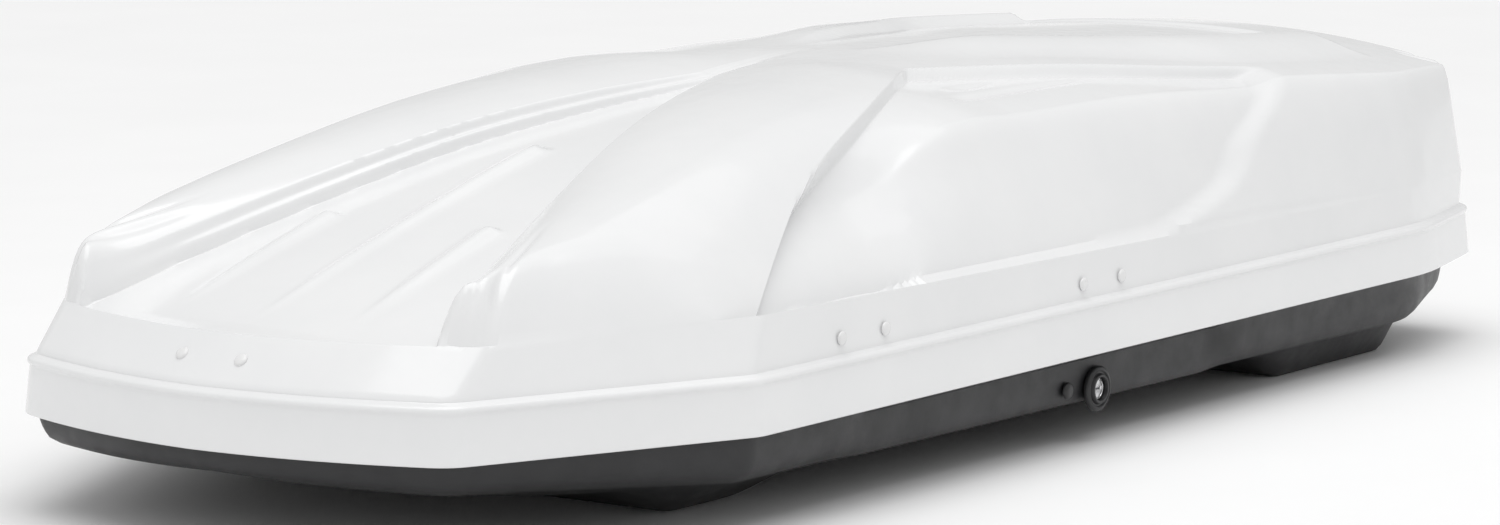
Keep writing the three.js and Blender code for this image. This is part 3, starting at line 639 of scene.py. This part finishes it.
def lock_face():
    """Barrel with its cam disc and drive pin, and a level key slot in its sunk face."""
    low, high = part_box("lock_barrel")
    back = low.y * 1000 + PIN_LENGTH + 0.4
    front = min(high.y * 1000, face - BARREL_SUNK)
    angle = np.linspace(0, 2 * math.pi, 64, endpoint=False)

    def ring(half_width, half_height, along, power=1.0):
        a = np.sign(np.cos(angle)) * np.abs(np.cos(angle)) ** power * half_width
        b = np.sign(np.sin(angle)) * np.abs(np.sin(angle)) ** power * half_height
        return np.column_stack([a, np.full(len(angle), along), b])

    turned_rings = [(0, back), (14.7, back), (14.7, back + 3), (11.5, back + 3), (11.5, front - 0.8),
                    (10.9, front), (9.6, front), (9.2, front - 0.5)]
    rings = [ring(r, r, along) for r, along in turned_rings]
    for half_width, half_height, depth in ((5.4, 1.5, 0.5), (4.8, 0.8, 0.9), (4.8, 0.8, 4), (0, 0, 4)):
        rings.append(ring(half_width, half_height, front - depth, 0.4))
    points = np.concatenate(rings)
    faces = ring_faces(len(angle), len(rings))
    tip = back - PIN_LENGTH
    pin_profile = [(0, tip), (1.6, tip), (1.9, tip + 0.4), (1.9, back + 1), (0, back + 1)]
    pin_rings = [ring(r, r, along) for r, along in pin_profile]
    pin = np.concatenate(pin_rings) + np.array([-DRIVE_PIN_AWAY, 0, DRIVE_PIN_AWAY])
    faces += ring_faces(len(angle), len(pin_rings), len(points))
    both = np.concatenate([points, pin]) + np.array([lock.x, 0, lock.z])
    return mesh_object("lock_barrel_face", both, faces)


place_piece(lock_face(), "lock_barrel", "bright_steel", "lock_barrel")
cap = middle("mechanism_cap")
cap_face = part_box("mechanism_cap")[1].y * 1000
CAP = [(0, -16), (3.5, -16), (3.5, -4.6), (8.6, -4.6), (9, -4), (8.8, -2.8), (7.8, -1.5), (5.6, -0.4), (2.6, 0),
       (0, 0)]
cap_dome = turned("cap_dome", CAP, "y", (cap.x, cap_face, cap.z), 48)
place_piece(cap_dome, "base", "black_fitting", "mechanism_cap")


# ---- knobs ----
KNOB_HEIGHT = 18.0
BORE_RADIUS = 4.6
BORE_END = 3.0  # the bore stops this far under the knob's top
LOBE_HEIGHT = 3.0
# Its outside from the bore's mouth to the top: radius, height, how strongly the lobes show.
KNOB = [(BORE_RADIUS, 0.1, 0), (9, 0, 0), (9, 6, 0), (12.6, 6.4, 1), (14.4, 7.6, 1), (15, 10, 1), (15, 14, 1),
        (14.2, 16, 1), (12, 17.4, 0.8), (7, KNOB_HEIGHT, 0.3), (0.01, KNOB_HEIGHT, 0)]


def knob(name, node):
    """A five-lobed star knob with a domed top, standing where its CAD node stands."""
    low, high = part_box(node)
    c = middle(node)
    z0, z1 = low.z * 1000, high.z * 1000
    angle = np.linspace(0, 2 * math.pi, 80, endpoint=False)

    def ring(radius, z):
        column = np.full(len(angle), z)
        return np.column_stack([c.x + radius * np.cos(angle), c.y + radius * np.sin(angle), column])

    rings = [ring(0, z1 - BORE_END), ring(BORE_RADIUS, z1 - BORE_END)]
    for radius, rise, lobes in KNOB:
        lobed = radius + LOBE_HEIGHT * lobes * np.cos(5 * angle)
        rings.append(ring(lobed, z0 + rise * (z1 - z0) / KNOB_HEIGHT))
    return mesh_object(name, np.concatenate(rings), ring_faces(len(angle), len(rings)))


for end in ("front_left", "front_right", "rear_left", "rear_right"):
    for side in (1, 2):
        node = f"clamp_knob_{end}_{side}"
        place_piece(knob(node + "_star", node), node, "black_fitting", node)

# ---- floor, light and camera ----
FLOOR_HALF = 30  # metres


def backdrop():
    """A plain pale floor."""
    mesh = bpy.data.meshes.new("floor")
    corners = [(x * FLOOR_HALF, y * FLOOR_HALF, 0) for x, y in ((-1, -1), (1, -1), (1, 1), (-1, 1))]
    mesh.from_pydata(corners, [], [(0, 1, 2, 3)])
    floor = bpy.data.objects.new("floor", mesh)
    bpy.context.scene.collection.objects.link(floor)
    material, nodes, links, shader, place = new_material("pale_floor")
    tone = noise(nodes, links, place, 3.0)
    pale = ramp(nodes, links, tone, [(0.3, (0.93, 0.93, 0.93)), (0.7, (0.945, 0.945, 0.945))])
    links.new(pale, shader.inputs["Base Color"])
    shader.inputs["Roughness"].default_value = 0.75
    floor.data.materials.append(material)


def softbox(name, location, target, size, power):
    """A rectangular area light that faces its target."""
    data = bpy.data.lights.new(name, "AREA")
    data.shape = "RECTANGLE"
    data.size, data.size_y = size
    data.energy = power
    light = bpy.data.objects.new(name, data)
    light.location = location
    aim = Vector(target) - Vector(location)
    light.rotation_euler = aim.to_track_quat("-Z", "Y").to_euler()
    bpy.context.scene.collection.objects.link(light)


backdrop()
softbox("top_light", (0.0, 0.3, 2.6), (0, 0, 0), (3.6, 2.2), 9)
softbox("nose_light", (3.4, 0.2, 1.7), (0.4, 0, 0.2), (1.6, 1.6), 1.5)
softbox("side_light", (-0.6, 3.6, 1.4), (0, 0, 0.2), (3.0, 1.2), 1.5)
overhead = bpy.data.lights.new("overhead", "SUN")
overhead.energy = 1.15
overhead.angle = math.radians(60)
overhead_light = bpy.data.objects.new("overhead", overhead)
overhead_light.rotation_euler = (math.radians(-8), math.radians(6), 0)
bpy.context.scene.collection.objects.link(overhead_light)
world = bpy.data.worlds.new("studio")
world.use_nodes = True
world.node_tree.nodes["Background"].inputs["Color"].default_value = (1, 1, 1, 1)
world.node_tree.nodes["Background"].inputs["Strength"].default_value = 0.62
bpy.context.scene.world = world
bpy.context.scene.view_settings.view_transform = "Standard"

CAMERA_PLACE = (4.5555, 3.186, 0.949)
CAMERA_TURN = math.radians(35.27)
CAMERA_DIP = math.radians(8.05)
camera_data = bpy.data.cameras.new("camera")
camera_data.sensor_width = 36
camera_data.lens = 124.99
camera_data.clip_end = 100
camera = bpy.data.objects.new("camera", camera_data)
camera.location = CAMERA_PLACE
level = Vector((-math.cos(CAMERA_TURN), -math.sin(CAMERA_TURN), 0))
ahead = level * math.cos(CAMERA_DIP) - Vector((0, 0, math.sin(CAMERA_DIP)))
camera.rotation_euler = ahead.to_track_quat("-Z", "Y").to_euler()
bpy.context.scene.collection.objects.link(camera)
bpy.context.scene.camera = camera
